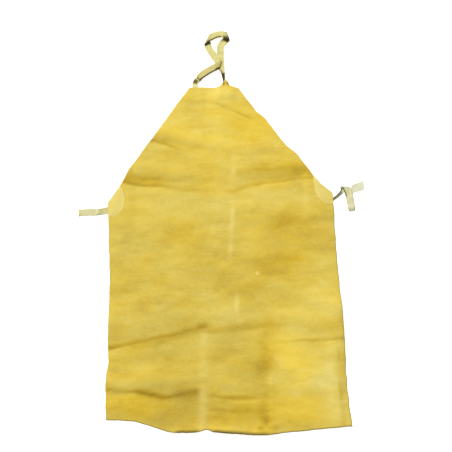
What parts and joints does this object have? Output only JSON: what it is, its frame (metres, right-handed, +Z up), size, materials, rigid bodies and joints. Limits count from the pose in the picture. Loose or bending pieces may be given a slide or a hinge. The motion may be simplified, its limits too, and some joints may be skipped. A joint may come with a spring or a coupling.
{
  "type": "leather work apron",
  "caption": "Split leather bib apron lying open and front up, with sewn waist corner patches, a cotton neck strap and cotton waist ties.",
  "frame": {"origin": "middle of the plan box of everything that lies on the surface, at the surface itself", "axes": "+Z up from the surface, through the leather to its front face; +Y from the hem to the bib and the neck strap; +X to the right seen from above with the bib at the top"},
  "size_m": [0.7612, 1.0936, 0.014],
  "materials": {
    "split_leather": "napped golden yellow split, mottled, with soft cross folds",
    "patch_leather": "paler yellow napped split, stitched along its curved inner edge",
    "strap_tape": "straw coloured woven cotton tape, a little soiled in its folds",
    "tie_tape": "cream woven cotton tape with cut ends"
  },
  "bodies": {
    "root": {"leather_panel": "split_leather", "corner_patch_left": "patch_leather", "corner_patch_right": "patch_leather", "neck_strap": "strap_tape", "waist_tie_left": "tie_tape", "waist_tie_right": "tie_tape"}
  },
  "joints": []
}
